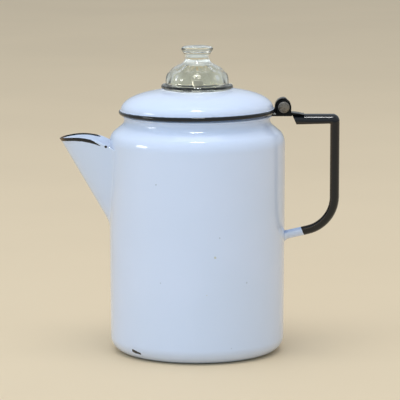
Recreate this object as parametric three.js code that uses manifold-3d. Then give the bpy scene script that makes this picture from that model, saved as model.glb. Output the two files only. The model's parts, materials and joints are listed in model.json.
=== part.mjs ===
// An enamelled steel coffee percolator for a camp stove, in millimetres.
// +Z is up, and the Z axis is the axis of the pot. The spout points along -X and the handle along +X.
// The origin is the middle of the pot's flat base, so the pot stands on the plane Z = 0.

import * as THREE from 'three';
import { mergeVertices } from 'three/addons/utils/BufferGeometryUtils.js';
import Module from 'manifold-3d';

const wasm = await Module();
wasm.setup();

// How many flat sides stand for a full circle
const WIDE_SIDES = 40;
const NARROW_SIDES = 16;
const HOLE_SIDES = 6;

// Sheet and fits
const ENAMELLED_SHEET = 1.2;
const THIN_SHEET = 0.8;
const GAP = 0.3;

// Pot body
const BODY_RADIUS = 71;
const BASE_RADIUS = 70.2;
const BASE_CORNER = 12;
const TAPER_TOP = 150;
const SHOULDER_START = 171.5;
const SHOULDER_RADIUS = 8;
const SHOULDER_TURN = 50;
const NECK_RADIUS = 58.9;
const NECK_FILLET = 6;
const NECK_START = 188.1;
const RIM_RADIUS = 60.6;
const RIM_BOTTOM = 190.2;
const RIM_TOP = 191.8;

// Spout
const SPOUT_BOTTOM = 105.1;
const SPOUT_LEAN = 0.58;
const SPOUT_FULLNESS = 4.3;
const SPOUT_TIP = 110.6;
const SPOUT_TIP_Z = 172.4;
const STRAINER_HOLE_RADIUS = 2.3;
const STRAINER_PITCH = 8;
const STRAINER_BOTTOM = 122;
const STRAINER_ROWS = 5;

// Handle: a channel that is open towards the pot
const HANDLE_WIDTH = 14;
const HANDLE_REACH = 114.7;
const GRIP_DEPTH = 7.3;
const ARM_TOP = 190.9;
const ARM_DEPTH = 5.2;
const ARM_START = 76.2;

// Hinge
const HINGE_X = 69.6;
const HINGE_Z = 198.4;
const EAR_RADIUS = 6;
const BRACKET_BOTTOM = 191.2;
const BRACKET_END = 86;
const PIN_RADIUS = 3.2;
const PIN_HOLE = 3.5;
const KNUCKLE_RADIUS = 5.7;
const KNUCKLE_CREST = 7.3;
const KNUCKLE_WIDTH = 10.8;
const WASHER_RADIUS = 4.4;
const WASHER_THICKNESS = 0.7;

// Lid, which sits a little high on its hinge side
const LID_TILT = 0.76;
const LID_SEAT = 193;
const DOME_RADIUS = 61.5;
const DOME_EDGE = 196.5;
const DOME_RISE = 16.3;
const DOME_POWER = 2.9;
const LID_BEAD_RADIUS = 1.75;
const HUB_RADIUS = 27.5;
const KNOB_HOLE = 18.6;
const SKIRT_RADIUS = 57;
const SKIRT_BOTTOM = 184.5;

// Glass knob
const KNOB_SEAT = 212.7;
const KNOB_NECK = 18;
const KNOB_BORE = 15;
const KNOB_NECK_END = 204.5;
const LUG_RADIUS = 20;
const LUG_TOP = 210;
const LUG_HEIGHT = 2.4;
const LUG_ANGLE = 24;
const LUG_NOTCH_TURN = 60;

// Pump, the tube and foot that carry boiling water up to the basket
const TUBE_RADIUS = 4;
const TUBE_TOP = 222;
const TUBE_BOTTOM = 10;
const FOOT_RADIUS = 25.4;
const FOOT_INLETS = 6;
const VALVE_RADIUS = 6;
const STOP_TOP = 119;

// Coffee basket and its spreader plate
const BASKET_RADIUS = 45;
const BASKET_FLOOR = 120.4;
const BASKET_TOP = 177.5;
const SLEEVE_RADIUS = 5.4;
const SLEEVE_BORE = 4.6;
const SPREADER_Z = 178.6;

// ---------------------------------------------------------------- materials

function finish(name, color, roughness, metalness, extra = {}) {
  return new THREE.MeshStandardMaterial({ name, color, roughness, metalness, ...extra });
}

const whiteEnamel = finish('white_enamel', 0xdfe6f3, 0.12, 0);
const blackEnamel = finish('black_enamel', 0x17181a, 0.15, 0);
const clearGlass = finish('clear_glass', 0xe8ead8, 0.05, 0, { transparent: true, opacity: 0.35 });
const spunAluminium = finish('spun_aluminium', 0xb9bcc0, 0.35, 1);
const bareSteel = finish('bare_steel', 0x8b8981, 0.4, 1);

// ---------------------------------------------------------------- shape helpers

const radians = THREE.MathUtils.degToRad;

// Points of a round stretch of a profile, as [across, up] pairs.
function arc(across, up, radius, fromDegrees, toDegrees, steps) {
  const points = [];
  for (let i = 0; i <= steps; i += 1) {
    const angle = radians(fromDegrees + ((toDegrees - fromDegrees) * i) / steps);
    points.push([across + radius * Math.cos(angle), up + radius * Math.sin(angle)]);
  }
  return points;
}

// An outline from corners [across, up, radius], with each corner rounded to its radius.
function rounded(corners, degreesPerStep = 15) {
  const points = [];
  corners.forEach(([x, y, radius = 0], i) => {
    const corner = new THREE.Vector2(x, y);
    if (radius === 0) {
      points.push([x, y]);
      return;
    }
    const [bx, by] = corners[(i + corners.length - 1) % corners.length];
    const [ax, ay] = corners[(i + 1) % corners.length];
    const before = new THREE.Vector2(bx, by).sub(corner).normalize();
    const after = new THREE.Vector2(ax, ay).sub(corner).normalize();
    const half = Math.acos(before.dot(after)) / 2;
    const middle = before.clone().add(after).normalize();
    const centre = corner.clone().addScaledVector(middle, radius / Math.sin(half));
    const first = corner.clone().addScaledVector(before, radius / Math.tan(half)).sub(centre);
    const turn = Math.sign(before.cross(after)) * (Math.PI - 2 * half);
    const steps = Math.max(2, Math.ceil(THREE.MathUtils.radToDeg(Math.abs(turn)) / degreesPerStep));
    for (let step = 0; step <= steps; step += 1) {
      const point = first.clone().rotateAround(new THREE.Vector2(), (-turn * step) / steps).add(centre);
      points.push([point.x, point.y]);
    }
  });
  return points;
}

// A clean closed geometry with shared corners, no collapsed triangles and its faces pointing out.
function closed(geometry) {
  geometry.deleteAttribute('normal');
  geometry.deleteAttribute('uv');
  const merged = mergeVertices(geometry, 1e-4);
  const position = merged.getAttribute('position');
  const [a, b, c] = [new THREE.Vector3(), new THREE.Vector3(), new THREE.Vector3()];
  const kept = [];
  let volume = 0;
  for (let i = 0; i < merged.index.count; i += 3) {
    const triangle = [0, 1, 2].map((k) => merged.index.getX(i + k));
    if (new Set(triangle).size === 3) {
      kept.push(triangle);
      a.fromBufferAttribute(position, triangle[0]);
      b.fromBufferAttribute(position, triangle[1]);
      c.fromBufferAttribute(position, triangle[2]);
      volume += a.dot(b.cross(c));
    }
  }
  merged.setIndex((volume < 0 ? kept.map((t) => t.reverse()) : kept).flat());
  return merged;
}

function solid(geometry) {
  const clean = closed(geometry);
  const vertProperties = new Float32Array(clean.getAttribute('position').array);
  const triVerts = new Uint32Array(clean.index.array);
  return new wasm.Manifold(new wasm.Mesh({ numProp: 3, vertProperties, triVerts }));
}

function geometryOf(manifold) {
  const mesh = manifold.getMesh();
  const geometry = new THREE.BufferGeometry();
  geometry.setAttribute('position', new THREE.BufferAttribute(mesh.vertProperties, 3));
  geometry.setIndex(new THREE.BufferAttribute(mesh.triVerts, 1));
  return geometry;
}

// A closed profile of [radius, height] pairs turned about the Z axis.
function spun(profile, segments = WIDE_SIDES) {
  const points = profile.map(([r, z]) => new THREE.Vector2(r, z));
  if (profile[0][0] > 0) {
    points.push(points[0].clone());
  }
  return new THREE.LatheGeometry(points, segments).rotateX(Math.PI / 2);
}

// An outline of [x, z] pairs given a width along Y, centred on the middle plane of the pot.
function acrossY(outline, width, holes = []) {
  const points = outline.map(([x, z]) => new THREE.Vector2(x, z));
  const shape = new THREE.Shape(THREE.ShapeUtils.isClockWise(points) ? points.reverse() : points);
  holes.forEach(([x, z, radius]) => {
    shape.holes.push(new THREE.Path().absarc(x, z, radius, 0, 2 * Math.PI, true));
  });
  const options = { depth: width, bevelEnabled: false, curveSegments: 9 };
  return new THREE.ExtrudeGeometry(shape, options).rotateX(Math.PI / 2).translate(0, width / 2, 0);
}

function block(lowX, highX, lowY, highY, lowZ, highZ) {
  const box = new THREE.BoxGeometry(highX - lowX, highY - lowY, highZ - lowZ);
  return box.translate((lowX + highX) / 2, (lowY + highY) / 2, (lowZ + highZ) / 2);
}

function upright(radius, lowZ, highZ, segments = WIDE_SIDES) {
  return spun([[0, lowZ], [radius, lowZ], [radius, highZ], [0, highZ]], segments);
}

// A plain ring of rectangular section.
function ring(inner, outer, lowZ, highZ, segments = NARROW_SIDES) {
  return spun([[inner, lowZ], [outer, lowZ], [outer, highZ], [inner, highZ]], segments);
}

// Upright prisms, one at each [x, y], that cut the holes of a perforated floor or plate.
function drill(places, radius, lowZ, highZ) {
  const cutters = places.map(([x, y]) => solid(upright(radius, lowZ, highZ, HOLE_SIDES).translate(x, y, 0)));
  return cutters.reduce((all, one) => all.add(one));
}

function circleOfPlaces(radius, count, startDegrees = 0) {
  const places = [];
  for (let i = 0; i < count; i += 1) {
    const angle = radians(startDegrees + (360 * i) / count);
    places.push([radius * Math.cos(angle), radius * Math.sin(angle)]);
  }
  return places;
}

function part(name, geometry, material) {
  const mesh = new THREE.Mesh(closed(geometry), material);
  mesh.name = name;
  return mesh;
}

// ---------------------------------------------------------------- pot

// The drawn wall of the pot, from the middle of the base to the rolled rim. Inset moves it inwards.
function potWall(inset) {
  const shoulderCentre = BODY_RADIUS - SHOULDER_RADIUS;
  const filletCentre = NECK_RADIUS + NECK_FILLET;
  const base = arc(BASE_RADIUS - BASE_CORNER, BASE_CORNER, BASE_CORNER - inset, -90, 0, 4);
  const shoulder = arc(shoulderCentre, SHOULDER_START, SHOULDER_RADIUS - inset, 0, SHOULDER_TURN, 3);
  const neckTurn = 180 + SHOULDER_TURN;
  const neck = arc(filletCentre, NECK_START, NECK_FILLET + inset, neckTurn, 180, 2);
  return [[0, inset], ...base, [BODY_RADIUS - inset, TAPER_TOP], ...shoulder, ...neck];
}

function strainerHoles() {
  const cutters = [];
  for (let row = 0; row < STRAINER_ROWS; row += 1) {
    const z = STRAINER_BOTTOM + row * STRAINER_PITCH;
    for (let i = 0; i <= row; i += 1) {
      const angle = ((i - row / 2) * STRAINER_PITCH) / BODY_RADIUS;
      const cutter = upright(STRAINER_HOLE_RADIUS, BODY_RADIUS - 6, BODY_RADIUS + 6, HOLE_SIDES);
      cutters.push(solid(cutter.rotateY(-Math.PI / 2).rotateZ(angle).translate(0, 0, z)));
    }
  }
  return cutters.reduce((all, one) => all.add(one));
}

function potBody() {
  const innerWall = potWall(ENAMELLED_SHEET).reverse();
  const rim = [
    [NECK_RADIUS, RIM_BOTTOM],
    [RIM_RADIUS, RIM_BOTTOM + 0.4],
    [RIM_RADIUS, RIM_TOP - 0.4],
    [NECK_RADIUS + 0.8, RIM_TOP],
    [NECK_RADIUS - ENAMELLED_SHEET, RIM_TOP],
  ];
  const shell = solid(spun([...potWall(0), ...rim, ...innerWall]));
  return part('pot_body', geometryOf(shell.subtract(strainerHoles())), whiteEnamel);
}

// A horn of horizontal sections, each a parabola in plan. Inset shrinks it to the inside of the sheet.
function spoutHorn(inset) {
  const levels = 12;
  const steps = 12;
  const chord = BODY_RADIUS - 12;
  const positions = [];
  const index = [];
  const ringSize = steps + 3;
  for (let level = 0; level <= levels; level += 1) {
    const z = SPOUT_BOTTOM - 2 + (level / levels) * (SPOUT_TIP_Z + 6 - SPOUT_BOTTOM);
    const keel = BODY_RADIUS + SPOUT_LEAN * (z - SPOUT_BOTTOM) - inset / Math.cos(Math.atan(SPOUT_LEAN));
    const width = SPOUT_FULLNESS * Math.sqrt(Math.max(keel - BODY_RADIUS, 0.1));
    const wall = Math.sqrt(BODY_RADIUS ** 2 - width ** 2);
    for (let i = 0; i <= steps; i += 1) {
      const side = (2 * i) / steps - 1;
      positions.push(-(wall + (keel - wall) * (1 - side * side)), side * width, z);
    }
    positions.push(-chord, width, z, -chord, -width, z);
  }
  for (let level = 0; level < levels; level += 1) {
    for (let i = 0; i < ringSize; i += 1) {
      const low = level * ringSize;
      const next = (i + 1) % ringSize;
      index.push(low + i, low + next, low + ringSize + i);
      index.push(low + next, low + ringSize + next, low + ringSize + i);
    }
  }
  for (let i = 1; i < ringSize - 1; i += 1) {
    const top = levels * ringSize;
    index.push(0, i + 1, i);
    index.push(top, top + i, top + i + 1);
  }
  const geometry = new THREE.BufferGeometry();
  geometry.setAttribute('position', new THREE.Float32BufferAttribute(positions, 3));
  geometry.setAttribute('normal', new THREE.Float32BufferAttribute(positions, 3));
  geometry.setIndex(index);
  return solid(geometry);
}

// The pouring edge arches up a little behind the tip, then falls towards the pot.
function spoutRim() {
  const outline = [];
  for (let back = -6; back <= 54; back += 6) {
    outline.push([back - SPOUT_TIP, SPOUT_TIP_Z + 0.291 * back - 0.00985 * back * back]);
  }
  outline.push([54 - SPOUT_TIP, 200], [-6 - SPOUT_TIP, 200]);
  return solid(acrossY(outline, 90));
}

function spout() {
  const trough = spoutHorn(0).subtract(spoutHorn(ENAMELLED_SHEET));
  const potSpace = solid(upright(BODY_RADIUS + GAP, 90, 200));
  return part('spout', geometryOf(trough.subtract(spoutRim()).subtract(potSpace)), whiteEnamel);
}

// The side view of the handle. Inset thins the outer skin, and open widens it past the open side.
function handleOutline(inset, open) {
  const reach = HANDLE_REACH - inset;
  const gripInside = HANDLE_REACH - GRIP_DEPTH - open;
  return rounded([
    [ARM_START - open * 6, ARM_TOP - inset],
    [reach, ARM_TOP - inset, 5 - inset],
    [reach, 100.1 + inset, 31.5 - inset],
    [62, 88.4 + inset],
    [62, 94 + open],
    [gripInside, 104.9 + open, 24],
    [gripInside, ARM_TOP - ARM_DEPTH + 0.5 - open, 1.2],
    [ARM_START + 3.6 - open * 9, ARM_TOP - ARM_DEPTH - 0.7 - open],
  ]);
}

function handle() {
  const blank = solid(acrossY(handleOutline(0, 0), HANDLE_WIDTH));
  const core = solid(acrossY(handleOutline(ENAMELLED_SHEET, 1), HANDLE_WIDTH - 2 * ENAMELLED_SHEET));
  const potSpace = solid(upright(BODY_RADIUS + GAP, 60, 150));
  return part('handle', geometryOf(blank.subtract(core).subtract(potSpace)), blackEnamel);
}

// ---------------------------------------------------------------- hinge

function hingeBracket() {
  const plateTop = BRACKET_BOTTOM + ENAMELLED_SHEET;
  const half = HANDLE_WIDTH / 2;
  const plate = solid(block(55, BRACKET_END, -half, half, BRACKET_BOTTOM, plateTop));
  const earOutline = [
    [HINGE_X + EAR_RADIUS, BRACKET_BOTTOM],
    ...arc(HINGE_X, HINGE_Z, EAR_RADIUS, 0, 180, 12),
    [HINGE_X - EAR_RADIUS, BRACKET_BOTTOM],
  ];
  const ears = solid(acrossY(earOutline, HANDLE_WIDTH, [[HINGE_X, HINGE_Z, PIN_HOLE]]));
  const between = HANDLE_WIDTH / 2 - ENAMELLED_SHEET;
  const knuckleSpace = solid(block(60, 80, -between, between, plateTop, 210));
  const rimSpace = solid(upright(RIM_RADIUS + GAP, 180, 200));
  const bracket = plate.add(ears.subtract(knuckleSpace)).subtract(rimSpace);
  return part('hinge_bracket', geometryOf(bracket), blackEnamel);
}

// A piece turned about the hinge's own axis, from [radius, distance along Y] pairs.
function onHinge(profile) {
  return spun(profile, NARROW_SIDES).rotateX(-Math.PI / 2).translate(HINGE_X, 0, HINGE_Z);
}

function hingeWasher(name, side) {
  const near = HANDLE_WIDTH / 2 + GAP;
  const profile = [
    [PIN_HOLE, near],
    [WASHER_RADIUS, near],
    [WASHER_RADIUS, near + WASHER_THICKNESS],
    [PIN_HOLE, near + WASHER_THICKNESS],
  ];
  return part(name, onHinge(profile.map(([r, along]) => [r, side * along])), bareSteel);
}

function hingePin() {
  const head = HANDLE_WIDTH / 2 + WASHER_THICKNESS + 2 * GAP;
  const profile = [
    [0, -head - 1],
    [2.2, -head - 0.9],
    [3.9, -head - 0.4],
    [4.2, -head],
    [PIN_RADIUS, -head],
    [PIN_RADIUS, head],
    [4, head],
    [3.2, head + 0.8],
    [0, head + 1],
  ];
  return part('hinge_pin', onHinge(profile), bareSteel);
}

// ---------------------------------------------------------------- lid

// The rounded-square curve of the dome, from the hub outwards.
function domeCurve(radius, rise) {
  const points = [];
  const shares = [0, 0.4, 0.66, 0.83, 0.93, 0.98, 1];
  shares.forEach((share) => {
    const r = HUB_RADIUS + (radius - HUB_RADIUS) * share;
    points.push([r, DOME_EDGE + rise * Math.sqrt(Math.max(0, 1 - (r / radius) ** DOME_POWER))]);
  });
  return points;
}

function lidShell() {
  const outer = domeCurve(DOME_RADIUS, DOME_RISE);
  const inner = domeCurve(DOME_RADIUS - ENAMELLED_SHEET, DOME_RISE - ENAMELLED_SHEET);
  const beadZ = LID_SEAT + LID_BEAD_RADIUS;
  const bead = arc(DOME_RADIUS, beadZ, LID_BEAD_RADIUS, 60, -90, 4);
  const profile = [
    [KNOB_HOLE, outer[0][1]],
    ...outer,
    ...bead,
    [DOME_RADIUS - ENAMELLED_SHEET, LID_SEAT],
    ...inner.reverse(),
    [KNOB_HOLE, inner[inner.length - 1][1]],
  ];
  const tabSpace = solid(block(DOME_RADIUS + 0.1, 70, -5.7, 5.7, 190, DOME_EDGE + 0.6));
  const notch = sector(LUG_RADIUS + 0.4, LUG_ANGLE + 6, 200, 220);
  let shell = solid(spun(profile)).subtract(tabSpace);
  [LUG_NOTCH_TURN, LUG_NOTCH_TURN + 180].forEach((turn) => {
    shell = shell.subtract(solid(notch.clone().rotateZ(radians(turn))));
  });
  return part('lid_shell', geometryOf(shell), whiteEnamel);
}

// A wedge of a disc, centred on +X, between two heights.
function sector(radius, degrees, lowZ, highZ) {
  const outline = [[0, 0], ...arc(0, 0, radius, -degrees / 2, degrees / 2, 4)];
  const shape = new THREE.Shape(outline.map(([x, y]) => new THREE.Vector2(x, y)));
  const wedge = new THREE.ExtrudeGeometry(shape, { depth: highZ - lowZ, bevelEnabled: false });
  return wedge.translate(0, 0, lowZ);
}

function lidSkirt() {
  const flangeBottom = LID_SEAT + GAP;
  const flangeTop = flangeBottom + ENAMELLED_SHEET;
  const flangeEdge = DOME_RADIUS - ENAMELLED_SHEET - GAP;
  const profile = [
    [SKIRT_RADIUS, SKIRT_BOTTOM],
    [SKIRT_RADIUS, flangeBottom],
    [flangeEdge, flangeBottom],
    [flangeEdge, flangeTop],
    [SKIRT_RADIUS - ENAMELLED_SHEET, flangeTop],
    [SKIRT_RADIUS - ENAMELLED_SHEET, SKIRT_BOTTOM],
  ];
  return part('lid_skirt', spun(profile), whiteEnamel);
}

// The strip that is welded to the lid's edge and curls round the hinge pin.
function lidHingeTab() {
  const footX = DOME_RADIUS + 0.5;
  const footBottom = LID_SEAT + 1;
  const outline = [
    [footX, footBottom],
    [footX, HINGE_Z + 0.5],
    ...arc(HINGE_X, HINGE_Z, KNUCKLE_CREST, 168, 84, 6),
    ...arc(HINGE_X, HINGE_Z, KNUCKLE_RADIUS, 60, -150, 14),
    [footX + ENAMELLED_SHEET, footBottom],
  ];
  const strip = acrossY(outline, KNUCKLE_WIDTH, [[HINGE_X, HINGE_Z, PIN_HOLE]]);
  return part('lid_hinge_tab', strip, blackEnamel);
}

function glassKnob() {
  const flangeTop = KNOB_SEAT + 3.5;
  const profile = [
    [KNOB_BORE, KNOB_NECK_END],
    [KNOB_NECK, KNOB_NECK_END],
    [KNOB_NECK, KNOB_SEAT],
    ...rounded([[28.4, KNOB_SEAT], [29.3, KNOB_SEAT + 1.7, 2], [28.2, flangeTop]], 40),
    [25.6, flangeTop + 0.2],
    [25.2, 218.4],
    [24.5, 222.8],
    [21.6, 227.2],
    [17.4, 230.7],
    [13, 232.8],
    [10.8, 234],
    [9.5, 237],
    [10.6, 240.5],
    [12.4, 243.6],
    [12.2, 245.4],
    [10.4, 246.9],
    [6, 247.4],
    [0, 247.5],
    [0, 231],
    [6, 230.4],
    [12, 228],
    [17, 224.2],
    [20.4, 219.5],
    [20.8, 216.5],
    [17.5, 213.6],
    [KNOB_BORE, 212],
    [KNOB_BORE, KNOB_NECK_END],
  ];
  const points = profile.map(([r, z]) => new THREE.Vector2(r, z));
  const glass = solid(new THREE.LatheGeometry(points, 28).rotateX(Math.PI / 2));
  const wedge = sector(LUG_RADIUS, LUG_ANGLE, LUG_TOP - LUG_HEIGHT, LUG_TOP);
  const lugs = solid(wedge).add(solid(wedge.clone().rotateZ(Math.PI)));
  const bore = solid(upright(KNOB_BORE + 1, 200, 214));
  return part('glass_knob', geometryOf(glass.add(lugs.subtract(bore))), clearGlass);
}

// ---------------------------------------------------------------- pump

function pumpTube() {
  return part('pump_tube', ring(TUBE_RADIUS - THIN_SHEET, TUBE_RADIUS, TUBE_BOTTOM, TUBE_TOP), spunAluminium);
}

// A bell whose neck grips the tube and whose chamber holds the valve. Inlets are cut in its edge.
function pumpFoot() {
  const floor = ENAMELLED_SHEET + GAP;
  const profile = [
    [FOOT_RADIUS, floor],
    [FOOT_RADIUS, floor + 1.6],
    [9.2, 7.6],
    [9.2, 14.2],
    [5.2, 16.6],
    [5.2, 26],
    [TUBE_RADIUS + GAP, 26],
    [TUBE_RADIUS + GAP, 15.9],
    [8.2, 13.4],
    [8.2, 6.9],
    [FOOT_RADIUS - 1.2, floor + 0.9],
    [FOOT_RADIUS - 1.2, floor],
  ];
  let bell = solid(spun(profile, 28));
  for (let i = 0; i < FOOT_INLETS; i += 1) {
    const inlet = block(20, 30, -2.5, 2.5, 0, floor + 1.2).rotateZ((2 * Math.PI * i) / FOOT_INLETS);
    bell = bell.subtract(solid(inlet));
  }
  return part('pump_foot', geometryOf(bell), spunAluminium);
}

function valveSeat() {
  return part('valve_seat', ring(3, 7.9, 6, 7), spunAluminium);
}

function valveDisc() {
  return part('valve_disc', upright(VALVE_RADIUS, 7.3, 8, NARROW_SIDES), bareSteel);
}

function basketStop() {
  const profile = [
    [TUBE_RADIUS + GAP, STOP_TOP - 3],
    [5.4, STOP_TOP - 3],
    [7, STOP_TOP - 1.4],
    [7, STOP_TOP],
    [TUBE_RADIUS + GAP, STOP_TOP],
  ];
  return part('basket_stop', spun(profile, NARROW_SIDES), spunAluminium);
}

// ---------------------------------------------------------------- basket

function basketCup() {
  const top = BASKET_TOP;
  const profile = [
    [SLEEVE_RADIUS + GAP, BASKET_FLOOR],
    [BASKET_RADIUS - 4, BASKET_FLOOR],
    ...arc(BASKET_RADIUS - 4, BASKET_FLOOR + 4, 4, -60, 0, 2),
    [BASKET_RADIUS, top - 2],
    [BASKET_RADIUS + 1.6, top - 2],
    [BASKET_RADIUS + 1.6, top],
    [BASKET_RADIUS - THIN_SHEET, top],
    ...arc(BASKET_RADIUS - 4, BASKET_FLOOR + 4, 4 - THIN_SHEET, 0, -60, 2),
    [BASKET_RADIUS - 4, BASKET_FLOOR + THIN_SHEET],
    [SLEEVE_RADIUS + GAP, BASKET_FLOOR + THIN_SHEET],
  ];
  const places = [...circleOfPlaces(18, 8), ...circleOfPlaces(31, 14, 12)];
  const holes = drill(places, 1.6, BASKET_FLOOR - 1, BASKET_FLOOR + 2);
  return part('basket_cup', geometryOf(solid(spun(profile)).subtract(holes)), spunAluminium);
}

// The tube in the middle of the basket, flared under the floor, that slides over the pump tube.
function basketSleeve() {
  const flareTop = BASKET_FLOOR - GAP;
  const profile = [
    [SLEEVE_BORE, flareTop - THIN_SHEET],
    [8.6, flareTop - THIN_SHEET],
    [8.6, flareTop],
    [SLEEVE_RADIUS, flareTop],
    [SLEEVE_RADIUS, BASKET_TOP - 2.5],
    [SLEEVE_BORE, BASKET_TOP - 2.5],
  ];
  return part('basket_sleeve', spun(profile, NARROW_SIDES), spunAluminium);
}

// The perforated cover that spreads the falling water over the coffee.
function spreaderPlate() {
  const profile = [
    [SLEEVE_RADIUS + GAP, SPREADER_Z + 1.6],
    [12, SPREADER_Z + 1.6],
    [16, SPREADER_Z],
    [BASKET_RADIUS, SPREADER_Z],
    [BASKET_RADIUS + 2, SPREADER_Z - 0.6],
    [BASKET_RADIUS + 2, SPREADER_Z + 0.4],
    [BASKET_RADIUS, SPREADER_Z + THIN_SHEET],
    [16.3, SPREADER_Z + THIN_SHEET],
    [12.3, SPREADER_Z + 1.6 + THIN_SHEET],
    [SLEEVE_RADIUS + GAP, SPREADER_Z + 1.6 + THIN_SHEET],
  ];
  const places = [...circleOfPlaces(23, 9), ...circleOfPlaces(35, 14, 12)];
  const holes = drill(places, 1.5, SPREADER_Z - 1, SPREADER_Z + 2);
  return part('spreader_plate', geometryOf(solid(spun(profile)).subtract(holes)), spunAluminium);
}

function spreaderCollar() {
  const low = SPREADER_Z - 2;
  const seat = SPREADER_Z + 1.6 + THIN_SHEET + GAP;
  const profile = [
    [SLEEVE_BORE, low],
    [SLEEVE_RADIUS, low],
    [SLEEVE_RADIUS, seat],
    [7.6, seat],
    [7.6, seat + THIN_SHEET],
    [SLEEVE_RADIUS, seat + THIN_SHEET],
    [SLEEVE_RADIUS, seat + 4.5],
    [SLEEVE_BORE, seat + 4.5],
  ];
  return part('spreader_collar', spun(profile, NARROW_SIDES), spunAluminium);
}

// ---------------------------------------------------------------- assembly

const pot = new THREE.Group();
pot.add(potBody(), spout(), handle());

const hinge = new THREE.Group();
hinge.add(hingeBracket(), hingePin());
hinge.add(hingeWasher('hinge_washer_front', -1), hingeWasher('hinge_washer_rear', 1));

// The lid's sheet metal is drawn level, then turned about the middle of its seat.
const lidSheet = new THREE.Group();
lidSheet.add(lidShell(), lidSkirt());
lidSheet.children.forEach((mesh) => mesh.position.set(0, 0, -LID_SEAT));
lidSheet.rotation.y = -radians(LID_TILT);
lidSheet.position.set(0, 0, LID_SEAT);

const lid = new THREE.Group();
lid.add(lidSheet, lidHingeTab(), glassKnob());

const pump = new THREE.Group();
pump.add(pumpTube(), pumpFoot(), valveSeat(), valveDisc(), basketStop());

const basket = new THREE.Group();
basket.add(basketCup(), basketSleeve(), spreaderPlate(), spreaderCollar());

const percolator = new THREE.Group();
percolator.add(pot, hinge, lid, pump, basket);

export default percolator;
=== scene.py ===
"""A white enamelled coffee percolator with black trim, a hinged lid and a glass knob.

Lengths in this script are millimetres and become metres where a mesh, lamp or camera is made.
+Z is up, the Z axis is the pot's axis, the spout points along -X and the handle along +X.
"""

import json
import math

import bmesh
import bpy
from mathutils import Matrix, Vector


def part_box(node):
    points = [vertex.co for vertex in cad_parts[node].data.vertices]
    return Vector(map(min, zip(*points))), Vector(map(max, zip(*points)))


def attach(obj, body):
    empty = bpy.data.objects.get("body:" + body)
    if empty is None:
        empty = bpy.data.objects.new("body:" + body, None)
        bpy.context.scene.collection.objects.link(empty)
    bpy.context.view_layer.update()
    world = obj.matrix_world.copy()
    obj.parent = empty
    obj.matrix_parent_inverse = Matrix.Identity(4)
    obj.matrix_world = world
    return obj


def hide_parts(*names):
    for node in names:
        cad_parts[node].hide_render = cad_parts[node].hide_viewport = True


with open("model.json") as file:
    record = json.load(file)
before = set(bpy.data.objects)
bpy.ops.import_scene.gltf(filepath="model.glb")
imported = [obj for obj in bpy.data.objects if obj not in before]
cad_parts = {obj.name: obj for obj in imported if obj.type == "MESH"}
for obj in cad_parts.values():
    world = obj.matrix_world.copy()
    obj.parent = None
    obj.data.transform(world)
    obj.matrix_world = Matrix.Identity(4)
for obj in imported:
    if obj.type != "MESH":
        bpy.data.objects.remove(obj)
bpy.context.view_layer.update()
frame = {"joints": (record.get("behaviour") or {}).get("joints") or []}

MM = 0.001

# ---------------------------------------------------------------- sizes taken from the frame


def box_mm(node):
    low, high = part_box(node)
    return low / MM, high / MM


def pivot_mm(name):
    joint = next(j for j in frame["joints"] if j["name"] == name)
    return Vector(joint["pos_m"]) / MM


_, POT_HIGH = box_mm("pot_body")
SPOUT_LOW, _ = box_mm("spout")
_, HANDLE_HIGH = box_mm("handle")
BRACKET_LOW, BRACKET_HIGH = box_mm("hinge_bracket")
KNOB_LOW, KNOB_HIGH = box_mm("glass_knob")
TUBE_LOW, TUBE_HIGH = box_mm("pump_tube")
FOOT_LOW, FOOT_HIGH = box_mm("pump_foot")
CUP_LOW, CUP_HIGH = box_mm("basket_cup")
_, SLEEVE_HIGH = box_mm("basket_sleeve")
STOP_LOW, STOP_HIGH = box_mm("basket_stop")
HINGE = pivot_mm("lid_hinge")
KNOB_SEAT = pivot_mm("knob_turn").z

# ---------------------------------------------------------------- driving dimensions

# Angles here are in degrees.
WIDE_SIDES = 192
NARROW_SIDES = 64
CREASE = 38
ENAMELLED_SHEET = 1.2
THIN_SHEET = 0.8
GAP = 0.3

BODY_RADIUS = POT_HIGH.y
BASE_RADIUS = BODY_RADIUS - 0.8
BASE_CORNER = 12
BASE_RECESS = 0.5
TAPER_TOP = 150
SIDE_TOP = 159
SHOULDER_START = 168.2
SHOULDER_WIDTH = 8
SHOULDER_HEIGHT = 12
SHOULDER_TURN = 50
NECK_RADIUS = 58.9
NECK_FILLET = 6
NECK_START = 188.1
RIM_TOP = POT_HIGH.z
RIM_ROLL = 0.85
RIM_LIP = 0.6
RIM_LIFT = 0.35
STRAINER_BOTTOM = 122
STRAINER_PITCH = 8
STRAINER_HOLE = 2.3
STRAINER_ROWS = 5

SPOUT_BOTTOM = SPOUT_LOW.z
SPOUT_LEAN = 0.58  # how far the keel comes out for each millimetre up
SPOUT_FULLNESS = 4.3  # the horn's half width where its keel stands off by 1 mm
SPOUT_LIP = 0.6
SPOUT_TIP = -SPOUT_LOW.x
SPOUT_TIP_Z = 172.4
SPOUT_TIP_DROOP = 0.4
SPOUT_EDGE_RISE = 0.291  # the upper edge's slope at the tip
SPOUT_EDGE_BOW = 0.00985  # how quickly that slope falls off towards the pot
SPOUT_EDGE_SHEET = 0.45
SPOUT_WELD = 3
SPOUT_ROLL = 0.6
SPOUT_DIP = 1.9

HALF_WIDTH = HANDLE_HIGH.y
HANDLE_REACH = HANDLE_HIGH.x
ARM_TOP = HANDLE_HIGH.z
ARM_CROWN = 1.5
ARM_START = 76.2
ARM_BOTTOM = 185.2
GRIP_INSIDE = 107.6
LIMB_WEB = 100.1  # where the lower limb's web meets the grip's, before rounding
LIMB_EDGE = 104.9  # the same for their free edges
CHANNEL_CORNER = 5.8
CHANNEL_EDGE = 0.55
EAR_LEFT = 63.6

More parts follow.
